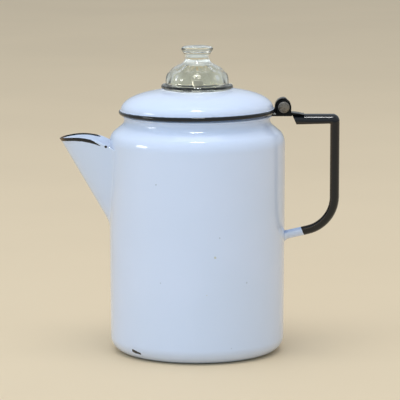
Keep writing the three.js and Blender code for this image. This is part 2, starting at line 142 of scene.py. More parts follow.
LID_TILT = 0.76
LID_SEAT = 193
DOME_RADIUS = 61.5
DOME_EDGE = 196.5
DOME_RISE = 16.3
DOME_POWER = 2.9  # 2 would be an ellipse, and more is squarer
LID_ROLL = 1.75
HUB_RADIUS = 27.5
KNOB_HOLE = 18.6
LUG_NOTCH = 20.4
SKIRT_RADIUS = 57
SKIRT_BOTTOM = 184.5

BASKET_RADIUS = 45
SLEEVE_RADIUS = 5.4
SLEEVE_BORE = 4.6
SPREADER_STEP = 1.6

# ---------------------------------------------------------------- outlines


def arc(across, up, radius, start, end, steps=12):
    """Points of a round stretch of an outline, from start to end in degrees."""
    angles = [math.radians(start + (end - start) * i / steps) for i in range(steps + 1)]
    return [(across + radius * math.cos(a), up + radius * math.sin(a)) for a in angles]


def rounded(corners, steps=8, closed=True):
    """An outline from corners (across, up, radius), each rounded to its radius."""
    points = []
    for i, (x, y, *radius) in enumerate(corners):
        at_end = not closed and i in (0, len(corners) - 1)
        if at_end or not radius or radius[0] == 0:
            points.append((x, y))
            continue
        corner = Vector((x, y))
        before = (Vector(corners[i - 1][:2]) - corner).normalized()
        after = (Vector(corners[(i + 1) % len(corners)][:2]) - corner).normalized()
        half = before.angle(after) / 2
        centre = corner + (before + after).normalized() * radius[0] / math.sin(half)
        first = corner + before * radius[0] / math.tan(half) - centre
        last = corner + after * radius[0] / math.tan(half) - centre
        turn = first.angle_signed(last)
        for step in range(steps + 1):
            angle = -turn * step / steps
            spin = Matrix.Rotation(angle, 2)
            points.append(tuple(centre + spin @ first))
    return points


def curve_through(points, steps=6):
    """A smooth line through points (a Catmull-Rom curve)."""
    padded = [points[0], *points, points[-1]]
    smooth = []
    for p0, p1, p2, p3 in zip(padded, padded[1:], padded[2:], padded[3:]):
        p0, p1, p2, p3 = Vector(p0), Vector(p1), Vector(p2), Vector(p3)
        for i in range(steps):
            t = i / steps
            bend = (2 * p0 - 5 * p1 + 4 * p2 - p3) * t * t + (3 * p1 - p0 - 3 * p2 + p3) * t ** 3
            smooth.append(tuple((2 * p1 + (p2 - p0) * t + bend) / 2))
    smooth.append(tuple(points[-1]))
    return smooth


def offset(line, distance):
    """line moved to its own left by distance."""
    moved = []
    for i, point in enumerate(line):
        before = Vector(line[max(i - 1, 0)])
        after = Vector(line[min(i + 1, len(line) - 1)])
        along = (after - before).normalized()
        moved.append((point[0] - along.y * distance, point[1] + along.x * distance))
    return moved


def half_round(start, end, forward, steps=6):
    """Points of a half circle from start to end, bulging forward."""
    centre = (Vector(start) + Vector(end)) / 2
    arm = Vector(start) - centre
    nose = forward.normalized() * arm.length
    angles = [math.pi * i / steps for i in range(1, steps)]
    return [tuple(centre + arm * math.cos(a) + nose * math.sin(a)) for a in angles]


def sheet(line, thickness):
    """The outline of a strip of metal whose one face runs along line and the other to its left."""
    inner = offset(line, thickness)
    forward = Vector(line[-1]) - Vector(line[-2])
    backward = Vector(line[0]) - Vector(line[1])
    far_edge = half_round(line[-1], inner[-1], forward)
    return [*line, *far_edge, *reversed(inner), *half_round(inner[0], line[0], backward)]


# ---------------------------------------------------------------- meshes


def built(name, points, faces, crease=CREASE):
    """A smooth-shaded object from points in millimetres, with its faces turned outwards."""
    mesh = bpy.data.meshes.new(name)
    mesh.from_pydata([Vector(p) * MM for p in points], [], faces)
    return finished(name, mesh, crease)


def finished(name, mesh, crease=CREASE):
    """An object from a mesh, with doubled points merged, and smooth but for its creases."""
    bm = bmesh.new()
    bm.from_mesh(mesh)
    bmesh.ops.remove_doubles(bm, verts=bm.verts, dist=1e-7)
    bmesh.ops.recalc_face_normals(bm, faces=bm.faces)
    bm.to_mesh(mesh)
    bm.free()
    mesh.shade_smooth()
    mesh.set_sharp_from_angle(angle=math.radians(crease))
    piece = bpy.data.objects.new(name, mesh)
    bpy.context.scene.collection.objects.link(piece)
    return piece


def turned(name, outline, sides=WIDE_SIDES, shape=None):
    """Turns an outline of (radius, height) points about the Z axis.

    An outline that starts on the axis also ends there. shape(radius, height, angle) may move a point.
    """
    points, rows = [], []
    for r, z in outline:
        if r < 1e-4:
            rows.append([len(points)] * sides)
            points.append((0, 0, z))
            continue
        rows.append(list(range(len(points), len(points) + sides)))
        for i in range(sides):
            angle = 2 * math.pi * i / sides
            radius, height = shape(r, z, angle) if shape else (r, z)
            points.append((radius * math.cos(angle), radius * math.sin(angle), height))
    pairs = list(zip(rows, rows[1:]))
    if outline[0][0] >= 1e-4:
        pairs.append((rows[-1], rows[0]))
    faces = []
    for low, high in pairs:
        for i in range(sides):
            j = (i + 1) % sides
            corners = list(dict.fromkeys((low[i], low[j], high[j], high[i])))
            if len(corners) > 2:
                faces.append(corners)
    return built(name, points, faces)


def slab(name, outline, low, high, edge=0.3):
    """An outline of (x, z) points given a thickness along Y, with its rims rounded."""
    bm = bmesh.new()
    face = bm.faces.new([bm.verts.new(Vector((x, low, z)) * MM) for x, z in outline])
    side = bmesh.ops.extrude_face_region(bm, geom=[face])["geom"]
    moved = [v for v in side if isinstance(v, bmesh.types.BMVert)]
    bmesh.ops.translate(bm, verts=moved, vec=(0, (high - low) * MM, 0))
    caps = [f for f in bm.faces if len(f.verts) == len(outline)]
    rims = {e for f in caps for e in f.edges}
    bmesh.ops.bevel(
        bm, geom=list(rims), offset=edge * MM, segments=3, profile=0.5, affect="EDGES", clamp_overlap=True
    )
    mesh = bpy.data.meshes.new(name)
    bm.to_mesh(mesh)
    bm.free()
    return finished(name, mesh)


def combined(target, tools, operation):
    """target with the tools joined to it or cut from it. The tools are used up."""
    for tool in tools:
        step = target.modifiers.new("boolean", "BOOLEAN")
        step.operation = operation
        step.solver = "EXACT"
        step.object = tool
    depsgraph = bpy.context.evaluated_depsgraph_get()
    mesh = bpy.data.meshes.new_from_object(target.evaluated_get(depsgraph))
    target.modifiers.clear()
    target.data = mesh
    mesh.shade_smooth()
    mesh.set_sharp_from_angle(angle=math.radians(CREASE))
    for tool in tools:
        bpy.data.objects.remove(tool)
    return target


def drills(places, radius, low, high, sides):
    """One object with an upright pin at each (x, y), for cutting holes."""
    points, faces = [], []
    for x, y in places:
        first = len(points)
        for z in (low, high):
            for i in range(sides):
                angle = 2 * math.pi * i / sides
                points.append((x + radius * math.cos(angle), y + radius * math.sin(angle), z))
        faces.append([first + i for i in range(sides)])
        faces.append([first + sides + i for i in range(sides)])
        for i in range(sides):
            j = (i + 1) % sides
            faces.append([first + i, first + j, first + sides + j, first + sides + i])
    return built("drills", points, faces)


def circle_of_places(radius, count, start):
    """count places round a circle, the first at start degrees."""
    angles = [math.radians(start) + 2 * math.pi * i / count for i in range(count)]
    return [(radius * math.cos(a), radius * math.sin(a)) for a in angles]


def paint(piece, layer, rule):
    """Stores rule(place in millimetres), held between 0 and 1, on each vertex for a material to read."""
    attribute = piece.data.attributes.new(layer, "FLOAT", "POINT")
    values = [min(max(rule(v.co / MM), 0), 1) for v in piece.data.vertices]
    attribute.data.foreach_set("value", values)


def ramp(value, low, high):
    """0 at low, 1 at high and a smooth rise between them."""
    t = min(max((value - low) / (high - low), 0), 1)
    return t * t * (3 - 2 * t)


def settled(piece, material, body, slot, *nodes):
    """Gives a piece its material, hangs it on its body and lets it stand for its CAD nodes."""
    piece.data.materials.clear()
    piece.data.materials.append(material)
    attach(piece, body)
    if nodes:
        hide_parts(*nodes)


# ---------------------------------------------------------------- materials


class Nodes:
    """A short way of writing a material's node tree."""

    def __init__(self, name):
        self.material = bpy.data.materials.new(name)
        self.material.use_nodes = True
        self.tree = self.material.node_tree
        self.shader = self.tree.nodes["Principled BSDF"]
        self.place = self.new("ShaderNodeTexCoord").outputs["Object"]

    def new(self, kind, **settings):
        node = self.tree.nodes.new(kind)
        for key, value in settings.items():
            setattr(node, key, value)
        return node

    def feed(self, socket, value):
        if isinstance(value, bpy.types.NodeSocket):
            self.tree.links.new(value, socket)
        else:
            socket.default_value = value

    def maths(self, operation, a, b=0.0):
        node = self.new("ShaderNodeMath", operation=operation)
        self.feed(node.inputs[0], a)
        self.feed(node.inputs[1], b)
        return node.outputs[0]

    def noise(self, scale, detail, place=None):
        """Smooth noise about 0.5. scale is in waves per metre."""
        node = self.new("ShaderNodeTexNoise")
        self.feed(node.inputs["Vector"], place or self.place)
        node.inputs["Scale"].default_value = scale
        node.inputs["Detail"].default_value = detail
        return node.outputs["Fac"]

    def between(self, value, low, high, to_low=0.0, to_high=1.0):
        """to_low where value is at low, to_high where it is at high, and a smooth change between."""
        node = self.new("ShaderNodeMapRange", interpolation_type="SMOOTHSTEP")
        self.feed(node.inputs["Value"], value)
        for key, number in zip(("From Min", "From Max", "To Min", "To Max"), (low, high, to_low, to_high)):
            node.inputs[key].default_value = number
        return node.outputs[0]

    def mixed(self, share, a, b):
        """Colour a, turning to b as share goes to 1."""
        node = self.new("ShaderNodeMix", data_type="RGBA")
        self.feed(node.inputs["Factor"], share)
        self.feed(node.inputs["A"], a if isinstance(a, bpy.types.NodeSocket) else (*a, 1))
        self.feed(node.inputs["B"], b if isinstance(b, bpy.types.NodeSocket) else (*b, 1))
        return node.outputs["Result"]

    def layer(self, name):
        """What paint() stored on the piece under name, and 0 on a piece without it."""
        return self.new("ShaderNodeAttribute", attribute_name=name).outputs["Fac"]

    def bumps(self, *heights):
        """Feeds the shader's normal from (height, depth in metres) pairs."""
        normal = None
        for height, depth in heights:
            node = self.new("ShaderNodeBump")
            self.feed(node.inputs["Height"], height)
            node.inputs["Distance"].default_value = depth
            if normal:
                self.feed(node.inputs["Normal"], normal)
            normal = node.outputs[0]
        self.feed(self.shader.inputs["Normal"], normal)

    def set(self, **values):
        for key, value in values.items():
            self.feed(self.shader.inputs[key.replace("_", " ")], value)
        return self.material


BRIGHT_WHITE = (0.715, 0.765, 0.90)
SHADED_WHITE = (0.685, 0.742, 0.87)
# Painted light: a paler, less blue white for the spout's inner face, standing in for the light that face
# catches.
INSIDE_PAINTED_LIGHT_WHITE = (0.80, 0.825, 0.90)
DEEP_BLACK = (0.004, 0.0048, 0.0048)
TRIM_BLACK = (0.007, 0.008, 0.010)
WORN_BROWN = (0.11, 0.06, 0.022)
# Bare iron at the chip, and painted shade at the small gap beside the spout.
BARE_IRON_AND_GAP_SHADE = (0.018, 0.016, 0.017)

SPECK_YELLOW = (0.62, 0.60, 0.50)
SPECK_GREY = (0.52, 0.57, 0.65)

# Marks on the pot's white enamel: place, radius and colour. The first five run together as one chip.
MARKS = (
    ((-50.9, -47.1, 7.6), 1.5, BARE_IRON_AND_GAP_SHADE),
    ((-49.5, -48.3, 7.1), 1.6, BARE_IRON_AND_GAP_SHADE),
    ((-48.1, -49.5, 6.7), 1.5, BARE_IRON_AND_GAP_SHADE),
    ((-46.7, -50.6, 6.5), 1.3, BARE_IRON_AND_GAP_SHADE),
    ((-45.4, -51.5, 6.1), 1.1, BARE_IRON_AND_GAP_SHADE),
    ((14.1, -69.6, 86.5), 0.85, SPECK_YELLOW),
    ((39.4, -59.0, 64.7), 0.7, SPECK_GREY),
    ((-29.2, -64.7, 65.7), 0.65, SPECK_GREY),
    ((7.8, -70.6, 56.4), 0.8, SPECK_YELLOW),
    ((-32.2, -63.3, 143.4), 0.6, SPECK_GREY),
    ((18.0, -68.7, 102.2), 0.6, SPECK_GREY),
    ((27.6, -65.4, 12.8), 0.8, SPECK_GREY),
    ((31.6, -63.6, 17.3), 0.65, SPECK_GREY),
    # Painted shade: a dark spot for the small gap where the spout's rolled edge ends beside the pot.
    ((-72.9, -24.2, 168.7), 1.15, BARE_IRON_AND_GAP_SHADE),
)


def enamel(name, marks=()):
    """Glossy white enamel, hand-dipped in black where the trim layer is 1.

    The wear layer browns the black, and a layer on the horn paints the spout's inner face paler and less
    blue, as painted light.
    """
    n = Nodes(name)
    tint = n.between(n.noise(9, 3), 0.35, 0.65)
    colour = n.mixed(tint, BRIGHT_WHITE, SHADED_WHITE)
    # Painted light: the spout's inner face is painted paler and less blue.
    colour = n.mixed(n.layer("inside_painted_light"), colour, INSIDE_PAINTED_LIGHT_WHITE)
    ripple = n.maths("SUBTRACT", n.noise(700, 2), 0.5)
    for place, radius, mark in marks:
        away = n.new("ShaderNodeVectorMath", operation="DISTANCE")
        n.feed(away.inputs[0], n.place)
        away.inputs[1].default_value = Vector(place) * MM
        edge = n.maths("ADD", n.maths("MULTIPLY", ripple, 0.0016), away.outputs["Value"])
        share = n.between(edge, radius * MM * 1.15, radius * MM * 0.85)
        colour = n.mixed(share, colour, mark)
    wander = n.maths("MULTIPLY", n.maths("SUBTRACT", n.noise(260, 2), 0.5), 0.55)
    trim = n.between(n.maths("ADD", n.layer("trim"), wander), 0.46, 0.54)
    black = n.mixed(n.layer("wear"), TRIM_BLACK, WORN_BROWN)
    colour = n.mixed(trim, colour, black)
    n.bumps((n.noise(14, 1), 0.0006), (n.noise(75, 1), 0.00007), (n.noise(420, 2), 0.000012))
    rough = n.between(n.noise(55, 4), 0.4, 0.75, 0.03, 0.07)
    return n.set(Base_Color=colour, Roughness=rough, IOR=1.52, Specular_IOR_Level=0.4)


def black_enamel():
    """Glossy black enamel that is browned and dulled where the wear layer is high."""
    n = Nodes("black_enamel")
    worn = n.maths("MULTIPLY", n.layer("wear"), n.between(n.noise(130, 4), 0.35, 0.6))
    colour = n.mixed(worn, DEEP_BLACK, WORN_BROWN)
    n.bumps((n.noise(45, 1), 0.0001), (n.noise(300, 2), 0.00003))
    rough = n.between(worn, 0, 1, 0.07, 0.4)
    return n.set(Base_Color=colour, Roughness=rough, IOR=1.5, Specular_IOR_Level=0.13)


def glass():
    """Clear pressed glass with a straw tint and the faint waves of its mould."""
    n = Nodes("clear_glass")
    cloud = n.between(n.noise(120, 2), 0.3, 0.7)
    colour = n.mixed(cloud, (0.94, 0.925, 0.81), (0.925, 0.91, 0.79))
    n.bumps((n.noise(110, 1), 0.0002), (n.noise(420, 1), 0.00002))
    return n.set(Base_Color=colour, Roughness=0.02, IOR=1.5, Transmission_Weight=1.0)


def spun_aluminium():
    """Aluminium with the fine rings of a lathe and a trace of coffee."""
    n = Nodes("spun_aluminium")
    axis = n.new("ShaderNodeSeparateXYZ")
    n.feed(axis.inputs[0], n.place)
    squares = [n.maths("POWER", axis.outputs[i], 2.0) for i in (0, 1)]
    away = n.maths("SQRT", n.maths("ADD", *squares))
    rings_at = n.new("ShaderNodeCombineXYZ")
    n.feed(rings_at.inputs[0], away)
    n.feed(rings_at.inputs[2], axis.outputs[2])
    rings = n.noise(2600, 3, rings_at.outputs[0])
    stain = n.between(n.noise(60, 4), 0.5, 0.8)
    colour = n.mixed(stain, (0.56, 0.555, 0.545), (0.38, 0.32, 0.24))
    n.bumps((rings, 0.00003), (n.noise(150, 2), 0.00005))
    rough = n.between(rings, 0.3, 0.7, 0.28, 0.42)
    return n.set(Base_Color=colour, Roughness=rough, Metallic=1.0)


def bare_steel():
    """Dull steel rubbed grey, with brown in its pits."""
    n = Nodes("bare_steel")
    pits = n.between(n.noise(900, 4), 0.45, 0.72)
    colour = n.mixed(pits, (0.24, 0.225, 0.20), (0.09, 0.07, 0.05))
    n.bumps((n.noise(1500, 3), 0.00006), (n.noise(300, 2), 0.0001))
    rough = n.between(pits, 0, 1, 0.42, 0.7)
    return n.set(Base_Color=colour, Roughness=rough, Metallic=0.9)


WHITE = enamel("white_enamel")
WHITE_MARKED = enamel("white_enamel_with_marks", MARKS)
BLACK = black_enamel()
GLASS = glass()
ALUMINIUM = spun_aluminium()
STEEL = bare_steel()

# ---------------------------------------------------------------- pot body


def wall_radius(z):
    """The pot's radius at a height below the shoulder. Its side tapers slightly towards the base."""
    return BODY_RADIUS - (BODY_RADIUS - BASE_RADIUS) * max(0, 1 - z / TAPER_TOP)


def pot_wall():
    """The outer face of the drawn steel, from the edge of the base recess to under the rim's roll."""
    shoulder_middle = BODY_RADIUS - SHOULDER_WIDTH
    stretch = SHOULDER_HEIGHT / SHOULDER_WIDTH
    shoulder_end = math.degrees(math.atan(stretch * math.tan(math.radians(SHOULDER_TURN))))
    fillet_middle = NECK_RADIUS + NECK_FILLET
    turn = 180 + SHOULDER_TURN
    base = arc(BASE_RADIUS - BASE_CORNER, BASE_CORNER, BASE_CORNER, -90, 0, 28)
    climb = [(wall_radius(z), z) for z in range(20, TAPER_TOP, 10)]
    round_shoulder = arc(shoulder_middle, 0, SHOULDER_WIDTH, 0, shoulder_end, 20)
    shoulder = [(x, SHOULDER_START + y * stretch) for x, y in round_shoulder]
    neck = arc(fillet_middle, NECK_START, NECK_FILLET, turn, 180, 10)
    return [*base, *climb, (BODY_RADIUS, TAPER_TOP), (BODY_RADIUS, SIDE_TOP), *shoulder, *neck]


def strainer():
    """Pins that drill the strainer: rows of holes in the wall behind the spout, each one hole longer."""
    lying = Matrix.Rotation(-math.pi / 2, 4, "Y")
    cutters = []
    for row in range(STRAINER_ROWS):
        height = Matrix.Translation((0, 0, (STRAINER_BOTTOM + row * STRAINER_PITCH) * MM))
        for i in range(row + 1):
            angle = (i - row / 2) * STRAINER_PITCH / BODY_RADIUS
            pin = drills([(0, 0)], STRAINER_HOLE, BODY_RADIUS - 6, BODY_RADIUS + 6, 24)
            pin.data.transform(height @ Matrix.Rotation(angle, 4, "Z") @ lying)
            cutters.append(pin)
    return cutters


def pot_body():
    wall = pot_wall()
    inside = offset(wall, ENAMELLED_SHEET)
    rim = RIM_TOP + RIM_LIFT
    roll = arc(NECK_RADIUS + RIM_ROLL, rim - RIM_ROLL, RIM_ROLL, -140, 95, 14)
    lip = arc(NECK_RADIUS - ENAMELLED_SHEET + RIM_LIP, rim - RIM_LIP, RIM_LIP, 90, 180, 5)
    recess = [(0, BASE_RECESS), (42, BASE_RECESS), (43.5, BASE_RECESS - 0.1), (46.5, 0.05), (48, 0)]
    floor = [(30, ENAMELLED_SHEET), (0, ENAMELLED_SHEET)]
    outline = [*recess, *wall, *roll, *lip, *reversed(inside), *floor]
    body = combined(turned("pot_body_shell", outline), strainer(), "DIFFERENCE")
    settled(body, WHITE_MARKED, "pot", "white_enamel", "pot_body")


pot_body()

# ---------------------------------------------------------------- spout


def spout_side(z):
    """How far the horn's keel stands off the pot at a height, and how fast its sides fall back."""
    lip = SPOUT_LIP * ramp(z, SPOUT_TIP_Z - 4.6, SPOUT_TIP_Z + 0.4) ** 2
    stand = SPOUT_LEAN * (z - SPOUT_BOTTOM) + lip
    chord = math.sqrt(max(BODY_RADIUS ** 2 - SPOUT_FULLNESS ** 2 * stand, 0))
    fall = 1 / SPOUT_FULLNESS ** 2 + 1 / (BODY_RADIUS + chord)
    return BODY_RADIUS + stand, fall


def spout_reach(z):
    """Half the width at which the horn's side has run in under the pot's wall."""
    keel, fall = spout_side(z)
    y = 0.0
    while math.hypot(keel - fall * y * y, y) > wall_radius(z) - SPOUT_WELD and y < 60:
        y += 0.02
    return y


def spout_point(z, y, keel, fall):
    """A point of the horn, with a soft weld where it meets the pot."""
    x = keel - fall * y * y
    height = math.hypot(x, y) - wall_radius(z)
    if height < SPOUT_WELD:
        height = max(height + SPOUT_WELD, 0) ** 2 / (4 * SPOUT_WELD)
    radius = wall_radius(z) - 0.03 + height
    angle = math.atan2(y, x)
    return Vector((-radius * math.cos(angle), radius * math.sin(angle), z))


def spout_rim_height(x):
    """The height of the horn's upper edge, which rises from the tip and bows over towards the pot."""
    back = x + SPOUT_TIP
    bow = SPOUT_EDGE_RISE * back - SPOUT_EDGE_BOW * back * back
    return SPOUT_TIP_Z + bow - SPOUT_TIP_DROOP * ramp(back, 0, 8)


def spout_grid():
    """Rows of points up the horn, each row running across it from side to side."""
    levels, half_steps, samples = 80, 26, 300
    lowest = SPOUT_BOTTOM - SPOUT_WELD / SPOUT_LEAN + 0.02
    shares = [math.sin(math.pi / 2 * i / half_steps) for i in range(-half_steps, half_steps + 1)]
    heights = [lowest + (SPOUT_TIP_Z + 8 - lowest) * i / samples for i in range(samples + 1)]
    sides = [(z, *spout_side(z), spout_reach(z)) for z in heights]

    def at(z, share):
        step = (z - lowest) / (heights[1] - lowest)
        i = min(max(int(step), 0), samples - 1)
        reach = sides[i][3] + (sides[i + 1][3] - sides[i][3]) * (step - i)
        return spout_point(z, share * reach, *spout_side(z))

    columns = []
    for share in shares:
        low, high = lowest, SPOUT_TIP_Z + 7
        for _ in range(40):
            middle = (low + high) / 2
            if middle < spout_rim_height(at(middle, share).x):
                low = middle
            else:
                high = middle
        climbs = [1 - (1 - i / levels) ** 1.7 for i in range(levels + 1)]
        columns.append([at(lowest + (low - lowest) * climb, share) for climb in climbs])
    return [list(row) for row in zip(*columns)]


def spout_normal(grid, i, j):
    up = grid[min(i + 1, len(grid) - 1)][j] - grid[max(i - 1, 0)][j]
    across = grid[i][min(j + 1, len(grid[i]) - 1)] - grid[i][max(j - 1, 0)]
    return up.cross(across).normalized()


def spout_inner(outer):
    """The inner face of the horn, a sheet's thickness in from the outer one and thinner at the weld."""
    inner = []
    for i, row in enumerate(outer):
        inner.append([])
        for j, point in enumerate(row):
            height = math.hypot(point.x, point.y) - BODY_RADIUS
            thickness = SPOUT_EDGE_SHEET + (ENAMELLED_SHEET - SPOUT_EDGE_SHEET) * ramp(height, 0, 2.5)
            normal = spout_normal(outer, max(i, 1), j)
            away = Vector((point.x, point.y, 0)).normalized()
            if normal.dot(away) < 0:
                normal.negate()
            if height < 0.3:
                normal = away
            inner[i].append(point - normal * thickness)
    return inner


def spout():
    outer = spout_grid()
    inner = spout_inner(outer)
    width = len(outer[0])
    points = [p for row in (*outer, *inner) for p in row]
    back = len(outer) * width
    faces = []
    for i in range(len(outer) - 1):
        for j in range(width - 1):
            a = i * width + j
            b, c, d = a + 1, a + width + 1, a + width
            faces.append([a, b, c, d])
            faces.append([back + a, back + d, back + c, back + b])
    edge = list(range(width))
    edge += [i * width + width - 1 for i in range(1, len(outer))]
    edge += [(len(outer) - 1) * width + j for j in range(width - 2, -1, -1)]
    edge += [i * width for i in range(len(outer) - 2, 0, -1)]
    for a, b in zip(edge, [*edge[1:], edge[0]]):
        faces.append([b, a, back + a, back + b])
    horn = built("spout_horn", points, faces, 50)
    spout_edge = [(a + b) / 2 for a, b in zip(outer[-1], inner[-1])]
    paint(horn, "trim", spout_trim)
    paint(horn, "wear", spout_wear)
    # Painted light: marks the horn's inner face, which the material paints paler and less blue.
    paint(horn, "inside_painted_light", spout_inside)
    settled(horn, WHITE_MARKED, "pot", "white_enamel", "spout")
    radii = [SPOUT_ROLL - 0.35 * ramp(p.x, -76, -73.5) for p in spout_edge]
    roll = tube("spout_rolled_edge", spout_edge, radii)
    paint(roll, "trim", spout_dip)
    paint(roll, "wear", spout_wear)
    settled(roll, WHITE_MARKED, "pot", "white_enamel")


def spout_dip(p):
    """How far the black dip reached: all of the edge but the last stretch beside the pot."""
    end = -81.8 if p.y < 0 else -78.1
    slant = 3 * (p.z - spout_rim_height(p.x))
    return ramp(p.x + slant, end + 2.2, end - 2.2)


def spout_inside(p):
    """1 on the horn's inner face and 0 on its outer one."""
    keel, fall = spout_side(p.z)
    return ramp(keel - fall * p.y * p.y + p.x, 0.2, 0.8)


def spout_trim(p):
    """Black on the horn itself: a band below its edge outside, and hardly any of it inside."""
    dip = SPOUT_DIP * (1 - 0.83 * spout_inside(p))
    return ramp(p.z - spout_rim_height(p.x), -dip - 0.6, -dip + 0.4) * spout_dip(p)


def spout_wear(p):
    """The black is rubbed brown at the very tip."""
    return ramp(p.x, -105.5, -108.5)


def tube(name, path, radii):
    """A round wire along a path, with a radius for each of its points."""
    sides = 14
    points, faces = [], []
    for i, (point, radius) in enumerate(zip(path, radii)):
        along = (path[min(i + 1, len(path) - 1)] - path[max(i - 1, 0)]).normalized()
        across = along.cross(Vector((0, 0, 1))).normalized()
        up = across.cross(along)
        for k in range(sides):
            angle = 2 * math.pi * k / sides
            points.append(point + (across * math.cos(angle) + up * math.sin(angle)) * radius)
    for i in range(len(path) - 1):
        for k in range(sides):
            low, next_k = i * sides + k, i * sides + (k + 1) % sides
            faces.append([low, next_k, next_k + sides, low + sides])
    faces.append(list(range(sides)))
    faces.append([len(points) - sides + k for k in range(sides)])
    return built(name, points, faces)


spout()

# ---------------------------------------------------------------- handle


def channel_section(depth, swell):
    """The channel's section as (distance in from its web's face, distance to the side) points."""
    middle = HALF_WIDTH - CHANNEL_CORNER
    inner_radius = CHANNEL_CORNER - ENAMELLED_SHEET
    outer_edge, inner_edge = HALF_WIDTH - CHANNEL_EDGE, HALF_WIDTH - ENAMELLED_SHEET + CHANNEL_EDGE
    outside = arc(CHANNEL_CORNER, middle, CHANNEL_CORNER, 180, 90, 12)
    free_edge = arc(depth - CHANNEL_EDGE, outer_edge, CHANNEL_EDGE, 90, 0, 3)
    free_edge += arc(depth - CHANNEL_EDGE, inner_edge, CHANNEL_EDGE, 0, -90, 3)
    inside = arc(CHANNEL_CORNER, middle, inner_radius, 90, 180, 10)
    right = [(0, 0), (0, 0.6), *outside, *free_edge, *inside, (ENAMELLED_SHEET, 0.6), (ENAMELLED_SHEET, 0)]
    right = [(a - swell * (a < CHANNEL_CORNER), y + swell * (y > middle)) for a, y in right]
    left = [(a, -y) for a, y in reversed(right) if y > 1e-6]
    return right + left


def handle_stations():
    """Matching points along the channel's web and along its free edges, as (x, z) pairs."""
    web_slope, edge_slope, edge_bend = 11.7 / 52.7, 0.24, 107.4
    longest_step = 1.6
    root = BODY_RADIUS - 0.7
    root_web = LIMB_WEB - web_slope * (HANDLE_REACH - root)
    root_edge = LIMB_EDGE - edge_slope * (edge_bend - root)
    top = ARM_TOP + ARM_CROWN
    web = [(ARM_START, top), (HANDLE_REACH, top, 5.5), (HANDLE_REACH, LIMB_WEB, 31.5), (root, root_web)]
    edge = [(79.8, 184.5), (GRIP_INSIDE, ARM_BOTTOM, 1.4), (GRIP_INSIDE, LIMB_EDGE, 24), (root, root_edge)]
    lines = rounded(web, 14, False), rounded(edge, 14, False)
    pairs = [(Vector(a), Vector(b)) for a, b in zip(*lines)]
    stations = [pairs[0]]
    for (web_a, edge_a), (web_b, edge_b) in zip(pairs, pairs[1:]):
        count = max(1, math.ceil((web_b - web_a).length / longest_step))
        shares = [i / count for i in range(1, count + 1)]
        stations += [(web_a.lerp(web_b, share), edge_a.lerp(edge_b, share)) for share in shares]
    return stations


def rounded_place(p):
    """p to a hundredth of a millimetre, under which a value can be kept for a vertex."""
    return tuple(round(c, 2) for c in p)


def handle():
    """A sheet channel that runs out from the neck, down as the grip and back to the pot's side."""
    points, faces, wear = [], [], {}
    stations = handle_stations()
    for web, edge in stations:
        inward = (edge - web).normalized()
        depth = (edge - web).length
        flare = 1.4 * ramp(web.x, BODY_RADIUS + 3.2, BODY_RADIUS - 0.4) ** 2 if web.y < 120 else 0
        for a, y in channel_section(depth, flare):
            at = web + inward * a
            points.append((at.x, y, at.y))
            wear[rounded_place(points[-1])] = 0.8 * ramp(a / depth, 0.9, 1.0)
    size = len(points) // len(stations)
    for i in range(len(stations) - 1):
        for k in range(size):
            low, side = i * size + k, i * size + (k + 1) % size
            faces.append([low, side, side + size, low + size])
    faces.append(list(range(size)))
    faces.append([len(points) - size + k for k in range(size)])
    channel = built("handle_channel", points, faces, 50)
    white_end, along = Vector((84.8, 97.6)), Vector((0.93, 0.37))
    paint(channel, "trim", lambda p: 1 if p.z > 130 else 0.5 + (p.xz - white_end).dot(along) / 3)
    paint(channel, "wear", lambda p: wear.get(rounded_place(p), 0))
    settled(channel, WHITE, "pot", "black_enamel", "handle")


handle()

# ---------------------------------------------------------------- hinge


def hinge_bracket():
    """A plate that lies on the handle's arm and thins to nothing along it, with two upright ears."""
    base = BRACKET_LOW.z
    top = base + ENAMELLED_SHEET
    end = BRACKET_HIGH.x
    low = ARM_TOP + ARM_CROWN - 0.1
    plate_outline = rounded([
        (59.9, base), (ARM_START - 0.4, base, 1), (ARM_START + 0.6, low, 1), (end, low),
        (end + 0.2, low + 0.2), (84.4, low + 0.35, 4), (82, low + 0.95, 4), (76.6, low + 1.6, 1.5),
        (74.8, top, 1), (59.9, top),
    ], 6)
    bracket = slab("hinge_bracket_plate", plate_outline, -HALF_WIDTH, HALF_WIDTH, 0.35)
    radius = HINGE.x - EAR_LEFT
    foot = base + 0.1
    ear = [(HINGE.x + radius, foot), *arc(HINGE.x, HINGE.z, radius, 0, 180, 36), (HINGE.x - radius, foot)]
    front = slab("ear_front", ear, -HALF_WIDTH, -HALF_WIDTH + ENAMELLED_SHEET, 0.4)
    rear = slab("ear_rear", ear, HALF_WIDTH - ENAMELLED_SHEET, HALF_WIDTH, 0.4)
    combined(bracket, [front, rear], "UNION")
    settled(bracket, BLACK, "pot", "black_enamel", "hinge_bracket")


def on_hinge(name, outline):
    """A piece turned about the hinge's axis, from (radius, distance along Y) points."""
    piece = turned(name, outline, NARROW_SIDES)
    piece.data.transform(Matrix.Translation(HINGE * MM) @ Matrix.Rotation(-math.pi / 2, 4, "X"))
    return piece


